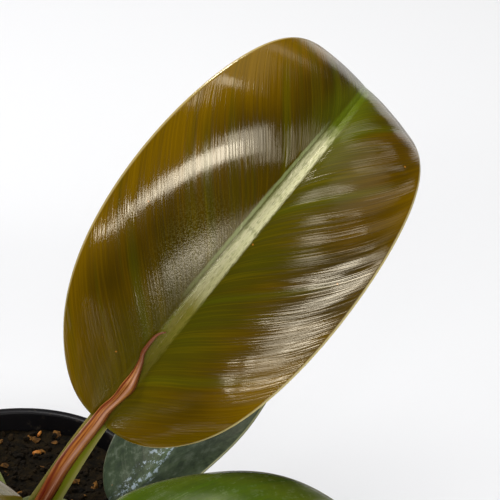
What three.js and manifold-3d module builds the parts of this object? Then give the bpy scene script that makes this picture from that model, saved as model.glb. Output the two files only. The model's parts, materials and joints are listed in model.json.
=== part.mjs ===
// A young imperial red philodendron in a round plastic nursery pot.
// Millimetres and degrees, +Z up, origin at the middle of the pot's underside.
import * as THREE from 'three';
import { mergeVertices } from 'three/addons/utils/BufferGeometryUtils.js';
import Module from 'manifold-3d';

// Pot: a 12 cm nursery pot with a rolled lip, a tapered wall and a flat floor with drain holes.
const potHeight = 106;
const lipRadius = 60;
const lipWidth = 4.2;
const lipHeight = 10;
const lipRounding = 1.2;
const wallTopRadius = 57;
const baseRadius = 42;
const baseRounding = 2;
const wallThickness = 1.6;
const floorThickness = 2;
const drainHoleRadius = 3.5;
const drainHoleCircle = 30;
const drainHoleCount = 8;
const potSegments = 64;

// Soil: fills the pot to a little under the lip, uneven on top, with a plain hole for the stem.
const clearance = 0.35;
const soilLevel = 97;
const soilUnevenness = 0.7;
const soilRings = 9;
const soilSegments = 48;

// Stem: a short thick stump, off the pot's middle, that the leaf stalks stand round.
const stem = { x: 2, y: -13, radius: 8, foot: 66, shoulder: 106, top: 111, segments: 20 };

// Leaf section: how thick the blade is and how its columns of points are spread.
const bladeThickness = 0.85;
const marchSteps = 120;
const tipNarrowing = 0.5;
const tipHalfWidth = 0.5;
const tipRibHalfWidth = 0.7;
const tipRibDepth = 0.25;
const liftReach = 0.25;
const liftFade = 0.6;

// Leaves, youngest first. Azimuths run from +X towards +Y, elevations from the horizontal.
// base: where the blade starts; halfWidths: widest half on the left and the right of the midrib;
// shape: exponents of the outline towards the base and the tip, for each half;
// bend: how far the midrib has turned down at the tip, shared by an even, a growing and a late part;
// rise and droop: each half's fall towards the midrib and its turn down towards the margin;
// lift: how much more each half rises where it is away from the leaf's base and tip;
// wave, waves and phase: height, number and start of the margin's waves on each half.
// stalk: where it leaves the stem, its half-width and depth at the root and the neck, and its channel.
const leaves = [
  {
    name: 'leaf_1_youngest', colour: 0x6b5518,
    base: [40.4, -4.8, 146.5], azimuth: 12.5, elevation: 53.3, roll: 54, length: 195.3,
    halfWidths: [53.4, 49.7], shape: [[0.456, 0.457], [0.388, 0.493]],
    bend: [16.7, 6.1, 89.8], sweep: -1.7, twist: 12.6,
    rise: [0.343, 0.33], lift: [0, 0.24], droop: 0.289, flatten: 0.76,
    wave: [1.5, 2], waves: [1.71, 2], phase: [-55, -80],
    stalk: {
      angle: 12, height: 107, elevation: 57, channel: 2,
      rootHalf: 6, rootDepth: 5.6, neckHalf: 4.4, neckDepth: 4.6,
    },
    rows: 30, columns: 6,
  },
  {
    name: 'leaf_2_bronze', colour: 0x6a4a12,
    base: [13.8, -45.2, 133.6], azimuth: 231, elevation: 42.5, roll: -11, length: 182,
    halfWidths: [50, 49], shape: [[0.44, 0.5], [0.44, 0.5]],
    bend: [25, 30, 30], sweep: 0, twist: 0,
    rise: [0.33, 0.33], lift: [0, 0], droop: 0.33, flatten: 0.3,
    wave: [1.4, 1.4], waves: [2.4, 2.4], phase: [114, 40],
    stalk: {
      angle: 279, height: 107, elevation: 52, channel: 1.6,
      rootHalf: 5.4, rootDepth: 5, neckHalf: 4, neckDepth: 4.2,
    },
    rows: 22, columns: 5,
  },
  {
    name: 'leaf_3_left_back', colour: 0x3f5318,
    base: [-36, 16, 143], azimuth: 152, elevation: 40, roll: 4, length: 172,
    halfWidths: [47, 46], shape: [[0.43, 0.5], [0.45, 0.5]],
    bend: [25, 35, 25], sweep: 4, twist: 0,
    rise: [0.32, 0.32], lift: [0, 0], droop: 0.34, flatten: 0.3,
    wave: [1.5, 1.5], waves: [2.3, 2.3], phase: [174, 100],
    stalk: {
      angle: 120, height: 106, elevation: 50, channel: 1.6,
      rootHalf: 5.2, rootDepth: 4.8, neckHalf: 3.9, neckDepth: 4,
    },
    rows: 22, columns: 5,
  },
  {
    name: 'leaf_4_green', colour: 0x3f5a12,
    base: [34.5, -51.9, 119.7], azimuth: -17, elevation: 19, roll: 13, length: 150,
    halfWidths: [43.7, 40.4], shape: [[0.44, 0.5], [0.44, 0.5]],
    bend: [38.5, 34, 21], sweep: -8.4, twist: 0,
    rise: [0.32, 0.32], lift: [0, 0], droop: 0.35, flatten: 0.3,
    wave: [1.3, 1.3], waves: [2.1, 2.1], phase: [94, 20],
    stalk: {
      angle: 318, height: 104.5, elevation: 38, channel: 1.4,
      rootHalf: 5, rootDepth: 4.6, neckHalf: 3.7, neckDepth: 3.8,
    },
    rows: 22, columns: 5,
  },
  {
    name: 'leaf_5_left_front', colour: 0x35501a,
    base: [-42, -36, 124], azimuth: 208, elevation: 24, roll: -3, length: 150,
    halfWidths: [42, 42], shape: [[0.45, 0.5], [0.44, 0.48]],
    bend: [25, 35, 20], sweep: 5, twist: 0,
    rise: [0.28, 0.28], lift: [0, 0], droop: 0.34, flatten: 0.3,
    wave: [1.4, 1.4], waves: [2.3, 2.3], phase: [274, 200],
    stalk: {
      angle: 202, height: 106, elevation: 44, channel: 1.3,
      rootHalf: 4.8, rootDepth: 4.4, neckHalf: 3.6, neckDepth: 3.7,
    },
    rows: 20, columns: 5,
  },
  {
    name: 'leaf_6_dark', colour: 0x35453a,
    base: [47.2, -17, 110], azimuth: 41.4, elevation: 34.2, roll: -11.5, length: 122.6,
    halfWidths: [35.6, 33.6], shape: [[0.44, 0.5], [0.44, 0.5]],
    bend: [4.6, 16.7, 20.4], sweep: 18.4, twist: 0,
    rise: [0.31, 0.31], lift: [0, 0], droop: 0.24, flatten: 0.3,
    wave: [1, 1], waves: [2.2, 2.2], phase: [14, 300],
    stalk: {
      angle: 48, height: 102.5, elevation: 6, channel: 1.1,
      rootHalf: 4.2, rootDepth: 3.6, neckHalf: 3.3, neckDepth: 3.2,
    },
    rows: 20, columns: 5,
  },
  {
    name: 'leaf_7_front', colour: 0x2f4420,
    base: [-10, -57, 111], azimuth: 262, elevation: 16, roll: 0, length: 122,
    halfWidths: [35, 34], shape: [[0.46, 0.5], [0.44, 0.5]],
    bend: [25, 25, 15], sweep: -4, twist: 0,
    rise: [0.26, 0.26], lift: [0, 0], droop: 0.33, flatten: 0.3,
    wave: [1.2, 1.2], waves: [2.1, 2.1], phase: [154, 80],
    stalk: {
      angle: 242, height: 102.4, elevation: 13, channel: 1,
      rootHalf: 4.2, rootDepth: 3.6, neckHalf: 3.2, neckDepth: 3.1,
    },
    rows: 18, columns: 5,
  },
  {
    name: 'leaf_8_oldest', colour: 0x2c3f22,
    base: [-38, 0, 111], azimuth: 168, elevation: 16, roll: 0, length: 106,
    halfWidths: [31, 31], shape: [[0.46, 0.5], [0.46, 0.5]],
    bend: [20, 25, 15], sweep: 3, twist: 0,
    rise: [0.24, 0.24], lift: [0, 0], droop: 0.32, flatten: 0.3,
    wave: [1, 1], waves: [2, 2], phase: [224, 150],
    stalk: {
      angle: 160, height: 102.5, elevation: 18, channel: 0.9,
      rootHalf: 4, rootDepth: 3.4, neckHalf: 3, neckDepth: 3,
    },
    rows: 18, columns: 5,
  },
];
const stalkRows = 7;

// New leaf: a rolled spear that lies in the channel of the youngest stalk and hooks over the blade.
// Each stop: mm past the blade's base, its radius, its lift off the surface and its drift to the left.
const spearSides = 10;
const spearStops = [
  { along: -52, radius: 2.6, lift: 0.6, drift: 0.4 },
  { along: -39, radius: 3.1, lift: 0.5, drift: 0.6 },
  { along: -27, radius: 3.1, lift: 0.6, drift: 1.2 },
  { along: -14, radius: 2.9, lift: 0.6, drift: 0.8 },
  { along: -1, radius: 2.8, lift: 0.9, drift: 0.2 },
  { along: 6, radius: 2.4, lift: 0.8, drift: 0.4 },
  { along: 13, radius: 2.1, lift: 0.9, drift: -0.6 },
  { along: 20, radius: 2.3, lift: 1.05, drift: -1 },
  { along: 26, radius: 1.7, lift: 0.9, drift: 0 },
  { along: 31, radius: 1.2, lift: 1.2, drift: 1.4 },
  { along: 34, radius: 1.0, lift: 1.6, drift: 2.7 },
  { along: 38, radius: 0.85, lift: 1.9, drift: 3.1 },
  { along: 42, radius: 0.7, lift: 2.1, drift: 3.0 },
  { along: 44.5, radius: 0.55, lift: 2.1, drift: 2.4 },
  { along: 46.5, radius: 0.35, lift: 1.9, drift: 0.9 },
];

const wasm = await Module();
wasm.setup();

const radians = THREE.MathUtils.degToRad;
const lerp = THREE.MathUtils.lerp;
const clamp = THREE.MathUtils.clamp;

// Unit vector from an azimuth and an elevation in degrees.
function direction(azimuth, elevation) {
  const a = radians(azimuth);
  const e = radians(elevation);
  return new THREE.Vector3(Math.cos(a) * Math.cos(e), Math.sin(a) * Math.cos(e), Math.sin(e));
}

// Solids for cutting, and back to a geometry.
function toSolid(geometry) {
  const bare = geometry.clone();
  bare.deleteAttribute('normal');
  bare.deleteAttribute('uv');
  const merged = mergeVertices(bare, 1e-4);
  return new wasm.Manifold(new wasm.Mesh({
    numProp: 3,
    vertProperties: new Float32Array(merged.attributes.position.array),
    triVerts: new Uint32Array(merged.index.array),
  }));
}

function toGeometry(solid) {
  const mesh = solid.getMesh();
  const geometry = new THREE.BufferGeometry();
  geometry.setAttribute('position', new THREE.BufferAttribute(mesh.vertProperties, 3));
  geometry.setIndex(new THREE.BufferAttribute(mesh.triVerts, 1));
  return geometry;
}

// A lathe turns about +Y, so it is stood up along +Z.
function turned(points, segments) {
  return new THREE.LatheGeometry(points, segments).rotateX(Math.PI / 2);
}

function standingCylinder(radius, bottom, top, x, y, sides) {
  const cylinder = new THREE.CylinderGeometry(radius, radius, top - bottom, sides);
  return cylinder.rotateX(Math.PI / 2).translate(x, y, (top + bottom) / 2);
}

// Radius of the wall's inner face at a height, which the soil follows.
function innerRadius(z) {
  const wallTop = potHeight - lipHeight;
  return lerp(baseRadius, wallTopRadius, clamp(z / wallTop, 0, 1)) - wallThickness;
}

function potGeometry() {
  const p = (r, z) => new THREE.Vector2(r, z);
  const lipBottom = potHeight - lipHeight;
  const lipInner = lipRadius - lipWidth;
  const profile = [
    p(0, 0),
    p(baseRadius - baseRounding, 0),
    p(baseRadius - baseRounding * 0.3, baseRounding * 0.3),
    p(baseRadius, baseRounding),
    p(wallTopRadius, lipBottom),
    p(lipRadius - 0.5, lipBottom + 0.4),
    p(lipRadius, lipBottom + 1.4),
    p(lipRadius, potHeight - lipRounding),
    p(lipRadius - lipRounding * 0.3, potHeight - lipRounding * 0.3),
    p(lipRadius - lipRounding, potHeight),
    p(lipInner + lipRounding, potHeight),
    p(lipInner + lipRounding * 0.3, potHeight - lipRounding * 0.3),
    p(lipInner, potHeight - lipRounding),
    p(innerRadius(lipBottom), lipBottom),
    p(innerRadius(floorThickness), floorThickness),
    p(0, floorThickness),
  ];
  let solid = toSolid(turned(profile, potSegments));
  for (let i = 0; i < drainHoleCount; i += 1) {
    const a = 2 * Math.PI * (i + 0.5) / drainHoleCount;
    const x = drainHoleCircle * Math.cos(a);
    const y = drainHoleCircle * Math.sin(a);
    const drill = standingCylinder(drainHoleRadius, -1, floorThickness + 1, x, y, 16);
    solid = solid.subtract(toSolid(drill));
  }
  return toGeometry(solid);
}

// Height of the soil's uneven top, in mm above its level.
function soilBump(x, y) {
  const coarse = Math.sin(x * 0.21 + 1.3) * Math.cos(y * 0.17 - 0.4);
  const fine = Math.sin(x * 0.47 - y * 0.39 + 2.1);
  return soilUnevenness * (0.7 * coarse + 0.3 * fine);
}

function soilGeometry() {
  const bottom = floorThickness + clearance;
  const p = (r, z) => new THREE.Vector2(r, z);
  const profile = [p(0, bottom), p(innerRadius(bottom) - clearance, bottom)];
  for (let i = 0; i <= soilRings; i += 1) {
    const r = (innerRadius(soilLevel) - clearance) * (1 - i / soilRings);
    profile.push(p(r, soilLevel));
  }
  const body = turned(profile, soilSegments);
  const position = body.attributes.position;
  for (let i = 0; i < position.count; i += 1) {
    if (position.getZ(i) > soilLevel - 1) {
      position.setZ(i, soilLevel + soilBump(position.getX(i), position.getY(i)));
    }
  }
  const bore = stem.radius + clearance;
  const foot = stem.foot - clearance;
  const hole = standingCylinder(bore, foot, soilLevel + 20, stem.x, stem.y, stem.segments);
  return toGeometry(toSolid(body).subtract(toSolid(hole)));
}

function stemGeometry() {
  const p = (r, z) => new THREE.Vector2(r, z);
  const dome = stem.top - stem.shoulder;
  const profile = [
    p(0, stem.foot),
    p(stem.radius * 0.7, stem.foot),
    p(stem.radius, stem.foot + 4),
    p(stem.radius, stem.shoulder),
    p(stem.radius * 0.86, stem.shoulder + dome * 0.45),
    p(stem.radius * 0.5, stem.shoulder + dome * 0.85),
    p(0, stem.top),
  ];
  return turned(profile, stem.segments).translate(stem.x, stem.y, 0);
}

// Frames along the blade: the midrib's point c, and t along it, s to its left and n upwards.
function bladeFrames(leaf) {
  const t = direction(leaf.azimuth, leaf.elevation);
  const s = direction(leaf.azimuth + 90, 0);
  const n = new THREE.Vector3().crossVectors(t, s);
  s.applyAxisAngle(t, radians(leaf.roll));
  n.applyAxisAngle(t, radians(leaf.roll));
  const c = new THREE.Vector3(...leaf.base);
  const [even, growing, late] = leaf.bend;
  const turnedBy = (q) => radians(even * q + growing * q ** 2 + late * q ** 5);
  const frames = [{ c: c.clone(), t: t.clone(), s: s.clone(), n: n.clone() }];
  for (let i = 0; i < marchSteps; i += 1) {
    const step = turnedBy((i + 1) / marchSteps) - turnedBy(i / marchSteps);
    t.applyAxisAngle(s, step);
    n.applyAxisAngle(s, step);
    const sweep = radians(leaf.sweep) / marchSteps;
    t.applyAxisAngle(n, sweep);
    s.applyAxisAngle(n, sweep);
    const twist = radians(leaf.twist) / marchSteps;
    s.applyAxisAngle(t, twist);
    n.applyAxisAngle(t, twist);
    c.addScaledVector(t, leaf.length / marchSteps);
    frames.push({ c: c.clone(), t: t.clone(), s: s.clone(), n: n.clone() });
  }
  return frames;
}

// One frame between two of the march, at a share q of the blade's length.
function frameAt(frames, q) {
  const place = clamp(q, 0, 1) * marchSteps;
  const i = Math.min(Math.floor(place), marchSteps - 1);
  const mix = (key) => frames[i][key].clone().lerp(frames[i + 1][key], place - i);
  return { c: mix('c'), t: mix('t').normalize(), s: mix('s').normalize(), n: mix('n').normalize() };
}

// Frames along the stalk, from its root at the stem up to the blade.
// Its upper side follows the blade's.
function stalkFrames(leaf, rootDistance, rows) {
  const first = bladeFrames(leaf)[0];
  const { angle, height, elevation } = leaf.stalk;
  const root = new THREE.Vector3(stem.x, stem.y, height);
  root.addScaledVector(direction(angle, 0), rootDistance);
  const reach = root.distanceTo(first.c);
  const leave = root.clone().addScaledVector(direction(angle, elevation), reach * 0.36);
  const arrive = first.c.clone().addScaledVector(first.t, -reach * 0.36);
  const curve = new THREE.CubicBezierCurve3(root, leave, arrive, first.c);
  const frames = [];
  let side = first.s.clone();
  for (let i = rows; i >= 0; i -= 1) {
    const t = curve.getTangent(i / rows);
    side = side.clone().addScaledVector(t, -side.dot(t)).normalize();
    const normal = new THREE.Vector3().crossVectors(t, side);
    frames.unshift({ c: curve.getPoint(i / rows), t, s: side, n: normal });
  }
  return frames;
}

// Share of the widest half-width at a share q of the blade's length.
function outline(q, [a, b]) {
  const peak = a / (a + b);
  const tall = peak ** a * (1 - peak) ** b;
  return q ** a * (1 - q) ** b * (1 - tipNarrowing * q ** 24) / tall;
}

// Half-width of the midrib's thick part and its depth under the blade.
function rib(leaf, q) {
  const { neckHalf, neckDepth } = leaf.stalk;
  return {
    half: lerp(neckHalf, tipRibHalfWidth, q ** 0.6),
    depth: lerp(neckDepth, tipRibDepth, q ** 0.55),
  };
}

// Height of the blade's upper face over the midrib, at a share x of the half-width w.
function bladeHeight(leaf, q, x, w, side) {
  const near = THREE.MathUtils.smoothstep(q, 0, liftReach);
  const far = THREE.MathUtils.smoothstep(q, liftFade, 1);
  const rise = leaf.rise[side] + leaf.lift[side] * near * (1 - far);
  const valley = w * (rise * x - leaf.droop * x ** 2.2) * (1 - leaf.flatten * q ** 5);
  const turn = 2 * Math.PI * leaf.waves[side] * q + radians(leaf.phase[side]);
  return valley + leaf.wave[side] * x ** 2 * Math.sin(turn) * Math.min(1, q * 12);
}

// Upper and lower points of one cross-section of the blade.
function bladeSection(leaf, frame, q, columns) {
  const { half, depth } = rib(leaf, q);
  const fade = Math.max(0, 1 - q / 0.12);
  const spread = THREE.MathUtils.smoothstep(q, 0, 0.05);
  const topPoints = [];
  const bottomPoints = [];
  for (let k = -columns; k <= columns; k += 1) {
    const side = k > 0 ? 0 : 1;
    const lobe = leaf.halfWidths[side] * outline(q, leaf.shape[side]);
    const w = Math.hypot(lobe, Math.max(tipHalfWidth, leaf.stalk.neckHalf * fade));
    const inner = Math.min(1.1 * half / w, 1 / columns + 0.25);
    const m = Math.abs(k) / columns;
    const split = 2 / columns;
    const bent = m <= split ? m / split * inner : inner + (1 - inner) * (m - split) / (1 - split);
    const x = lerp(m, bent, spread);
    const across = Math.sign(k) * x * w;
    const inRib = Math.min(1, Math.abs(across) / half);
    const channel = leaf.stalk.channel * fade ** 2 * inRib ** 2;
    const h = bladeHeight(leaf, q, x, w, side) + channel;
    const under = bladeThickness + depth * (1 - inRib ** 2) ** 0.7;
    const point = frame.c.clone().addScaledVector(frame.s, across).addScaledVector(frame.n, h);
    topPoints.push(point);
    bottomPoints.push(point.clone().addScaledVector(frame.n, -under));
  }
  return { topPoints, bottomPoints };
}

// Upper and lower points of one cross-section of the stalk, at a share p from root to blade.
function stalkSection(leaf, frame, p, columns) {
  const { rootHalf, rootDepth, neckHalf, neckDepth, channel } = leaf.stalk;
  const w = lerp(rootHalf, neckHalf, p);
  const depth = lerp(rootDepth, neckDepth, p);
  const topPoints = [];
  const bottomPoints = [];
  for (let k = -columns; k <= columns; k += 1) {
    const x = k / columns;
    const under = bladeThickness + depth * (1 - x ** 2) ** 0.7;
    const point = frame.c.clone().addScaledVector(frame.s, x * w);
    point.addScaledVector(frame.n, channel * x ** 2);
    topPoints.push(point);
    bottomPoints.push(point.clone().addScaledVector(frame.n, -under));
  }
  return { topPoints, bottomPoints };
}

// A closed body through cross-sections that each have an upper and a lower row of points.
function skin(sections) {
  const width = sections[0].topPoints.length;
  const positions = sections.flatMap(({ topPoints, bottomPoints }) => (
    [...topPoints, ...bottomPoints].flatMap((point) => point.toArray())));
  const above = (i, k) => i * 2 * width + k;
  const below = (i, k) => above(i, k) + width;
  const index = [];
  const quad = (a, b, c, d) => index.push(a, b, c, a, c, d);
  const last = sections.length - 1;
  for (let i = 0; i < last; i += 1) {
    for (let k = 0; k < width - 1; k += 1) {
      index.push(above(i, k), above(i + 1, k + 1), above(i, k + 1));
      index.push(above(i, k), above(i + 1, k), above(i + 1, k + 1));
      index.push(below(i, k), below(i, k + 1), below(i + 1, k + 1));
      index.push(below(i, k), below(i + 1, k + 1), below(i + 1, k));
    }
    quad(above(i, 0), below(i, 0), below(i + 1, 0), above(i + 1, 0));
    quad(above(i, width - 1), above(i + 1, width - 1), below(i + 1, width - 1), below(i, width - 1));
  }
  for (let k = 0; k < width - 1; k += 1) {
    quad(above(0, k), above(0, k + 1), below(0, k + 1), below(0, k));
    quad(above(last, k), below(last, k), below(last, k + 1), above(last, k + 1));
  }
  const geometry = new THREE.BufferGeometry();
  geometry.setAttribute('position', new THREE.Float32BufferAttribute(positions, 3));
  geometry.setIndex(index);
  return geometry;
}

// How far a stalk's root section reaches back towards the stem's axis.
function rootReach(leaf) {
  const frame = stalkFrames(leaf, stem.radius * 1.6, stalkRows)[0];
  const outward = direction(leaf.stalk.angle, 0);
  const { topPoints, bottomPoints } = stalkSection(leaf, frame, 0, leaf.columns);
  const back = (point) => frame.c.clone().sub(point).dot(outward);
  return Math.max(...[...topPoints, ...bottomPoints].map(back));
}

function leafGeometry(leaf) {
  const distance = stem.radius + clearance + rootReach(leaf);
  const stalk = stalkFrames(leaf, distance, stalkRows);
  const sections = stalk.slice(0, -1)
    .map((frame, i) => stalkSection(leaf, frame, i / stalkRows, leaf.columns));
  const frames = bladeFrames(leaf);
  for (let i = 0; i <= leaf.rows; i += 1) {
    const share = i / leaf.rows;
    const q = share ** 2 * (3 - 2 * share);
    sections.push(bladeSection(leaf, frameAt(frames, q), q, leaf.columns));
  }
  return skin(sections);
}

// Frame and resting height of the spear, at a distance along from the blade's base.
function spearSeat(leaf, along) {
  const distance = stem.radius + clearance + rootReach(leaf);
  const stalk = stalkFrames(leaf, distance, marchSteps);
  if (along < 0) {
    const reach = stalk[0].c.distanceTo(stalk[marchSteps].c);
    const p = clamp(1 + along / reach, 0, 1);
    return stalk[Math.round(p * marchSteps)];
  }
  return frameAt(bladeFrames(leaf), along / leaf.length);
}

// A round tube through rings of points, closed at both ends.
function tube(rings) {
  const sides = rings[0].length;
  const positions = rings.flatMap((ring) => ring.flatMap((point) => point.toArray()));
  const index = [];
  for (let i = 0; i < rings.length - 1; i += 1) {
    for (let k = 0; k < sides; k += 1) {
      const next = (k + 1) % sides;
      const a = i * sides + k;
      const b = i * sides + next;
      index.push(a, b, b + sides, a, b + sides, a + sides);
    }
  }
  for (let k = 1; k < sides - 1; k += 1) {
    const end = (rings.length - 1) * sides;
    index.push(0, k + 1, k, end, end + k, end + k + 1);
  }
  const geometry = new THREE.BufferGeometry();
  geometry.setAttribute('position', new THREE.Float32BufferAttribute(positions, 3));
  geometry.setIndex(index);
  return geometry;
}

function spearGeometry(leaf) {
  const rings = spearStops.map(({ along, radius, lift, drift }) => {
    const frame = spearSeat(leaf, along);
    const middle = frame.c.clone().addScaledVector(frame.n, radius + lift);
    middle.addScaledVector(frame.s, drift);
    return Array.from({ length: spearSides }, (_, k) => {
      const a = 2 * Math.PI * k / spearSides;
      return middle.clone()
        .addScaledVector(frame.s, radius * Math.cos(a))
        .addScaledVector(frame.n, radius * Math.sin(a));
    });
  });
  return tube(rings);
}

const plant = new THREE.Group();

function add(name, geometry, colour, roughness) {
  const material = new THREE.MeshStandardMaterial({ color: colour, roughness, metalness: 0 });
  const mesh = new THREE.Mesh(geometry, material);
  mesh.name = name;
  plant.add(mesh);
}

add('pot', potGeometry(), 0x231d1f, 0.45);
add('soil', soilGeometry(), 0x2f1d0c, 0.95);
add('stem', stemGeometry(), 0x5a5a2a, 0.6);
for (const leaf of leaves) {
  add(leaf.name, leafGeometry(leaf), leaf.colour, 0.35);
}
add('new_leaf_spear', spearGeometry(leaves[0]), 0x7a3a22, 0.35);

export default plant;
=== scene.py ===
import json
import math
import random

import bmesh
import bpy
from mathutils import Matrix, Vector, noise

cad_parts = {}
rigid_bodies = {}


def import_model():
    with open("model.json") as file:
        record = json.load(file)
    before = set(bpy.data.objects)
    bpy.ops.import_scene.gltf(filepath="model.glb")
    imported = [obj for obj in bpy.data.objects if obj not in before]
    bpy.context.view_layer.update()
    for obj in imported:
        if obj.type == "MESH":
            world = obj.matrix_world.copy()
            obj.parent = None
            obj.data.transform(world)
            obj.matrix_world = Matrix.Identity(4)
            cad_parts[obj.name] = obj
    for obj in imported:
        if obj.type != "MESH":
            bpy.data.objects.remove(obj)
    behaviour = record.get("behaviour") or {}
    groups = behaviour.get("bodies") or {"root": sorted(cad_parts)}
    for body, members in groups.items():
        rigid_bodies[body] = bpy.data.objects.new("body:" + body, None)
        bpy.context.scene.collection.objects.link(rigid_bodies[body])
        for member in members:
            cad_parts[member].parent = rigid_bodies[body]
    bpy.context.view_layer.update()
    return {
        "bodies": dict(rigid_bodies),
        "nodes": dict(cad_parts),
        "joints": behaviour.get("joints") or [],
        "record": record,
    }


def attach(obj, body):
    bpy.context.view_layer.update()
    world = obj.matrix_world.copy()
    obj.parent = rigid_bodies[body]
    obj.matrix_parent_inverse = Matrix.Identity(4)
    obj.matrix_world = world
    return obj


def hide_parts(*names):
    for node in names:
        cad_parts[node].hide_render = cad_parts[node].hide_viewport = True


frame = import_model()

# A young imperial red philodendron in a nursery pot. Sizes are in mm, and each mesh is brought to metres.
MM = 0.001

# Stem: a short stump, off the pot's middle, that the stalks stand round, ringed by leaf scars.
STEM = {"x": 2, "y": -13, "radius": 8, "foot": 90, "shoulder": 106, "top": 111}
STEM_SEGMENTS = 72
SCAR_PITCH = 4.5
SCAR_HEIGHT = 0.35
STEM_BULGE = 0.035
CLEARANCE = 0.35

# Leaf section, as in the solids.
BLADE_THICKNESS = 0.85
MARGIN_THICKNESS = 0.5
MARCH_STEPS = 120
STALK_SOLID_ROWS = 7
TIP_NARROWING = 0.5
TIP_HALF_WIDTH = 0.5
TIP_RIB_HALF = 0.7
TIP_RIB_DEPTH = 0.25
LIFT_REACH = 0.25
LIFT_FADE = 0.6
NECK_FADE = 0.12
DROOP_POWER = 2.2
RIB_COLUMNS = 0.22
STALK_PULL = 0.36
ROOT_GUESS = 1.6

# The pale midrib's half-width at the base and the tip, and the dark groove along its edge.
PALE_RIB_HALF = (3.8, 2.0)
RIB_GROOVE_DEPTH = 0.2
RIB_GROOVE_WIDTH = 0.7
UNDERSIDE_RELIEF = 0.4

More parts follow.
